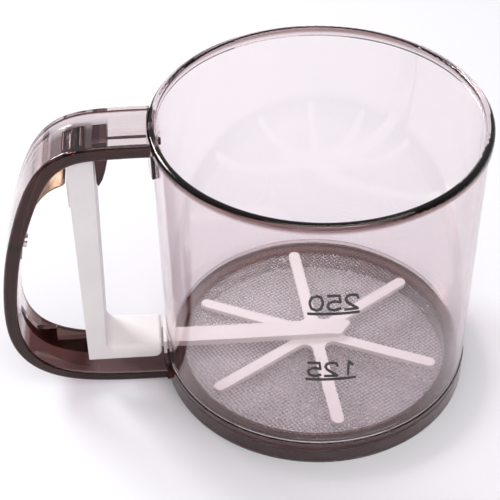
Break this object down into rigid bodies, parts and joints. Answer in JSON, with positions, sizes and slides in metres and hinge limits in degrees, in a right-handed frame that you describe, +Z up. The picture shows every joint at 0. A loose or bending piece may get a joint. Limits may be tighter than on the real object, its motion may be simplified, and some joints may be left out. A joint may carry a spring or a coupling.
{
  "type": "flour sifter",
  "caption": "Hand-held squeeze flour sifter: a see-through cup with a woven screen, a solid C-shaped handle, and a sprung trigger that slides a star agitator over the screen.",
  "frame": {"origin": "centre of the base ring's foot, on the surface it stands on", "axes": "+Z up along the cup's axis; the handle points along -X"},
  "size_m": [0.1481, 0.1004, 0.095],
  "materials": {
    "smoked_clear": "clear smoke-brown tint, polished",
    "smoked_mark": "raised smoke-brown strokes",
    "smoked_dark": "clear dark smoke-brown tint, polished",
    "smoked_handle": "clear smoke-brown tint, polished",
    "white_plastic": "satin",
    "steel_mesh": "fine plain weave",
    "steel_pin": "bright",
    "spring_steel": "brown-tempered strip"
  },
  "bodies": {
    "sifter": {"cup_body": "smoked_clear", "graduation_marks": "smoked_mark", "base_ring": "smoked_dark", "mesh_screen": "steel_mesh", "mesh_hoop": "smoked_dark", "slot_guide": "white_plastic", "handle": "smoked_handle", "trigger_pivot_pin": "steel_pin", "return_spring": "spring_steel", "spring_screw": "steel_pin"},
    "trigger": {"trigger_lever": "white_plastic", "drive_pin": "steel_pin"},
    "agitator": {"agitator_arm": "white_plastic", "agitator_star": "white_plastic"}
  },
  "joints": [
    {"name": "trigger_squeeze", "type": "hinge", "parent": "sifter", "child": "trigger", "pos_m": [-0.0709, 0, 0.0854], "axis": [0, 1, 0], "range_deg": [0, 4.6], "stiffness_Nm_per_rad": 2, "springref_deg": -5.73, "deforming": ["return_spring"]},
    {"name": "agitator_slide", "type": "slide", "parent": "sifter", "child": "agitator", "axis": [-1, 0, 0], "range_m": [0, 0.006]}
  ],
  "couplings": [
    {"joint": "agitator_slide", "follows": "trigger_squeeze", "m_per_rad": 0.0747}
  ]
}
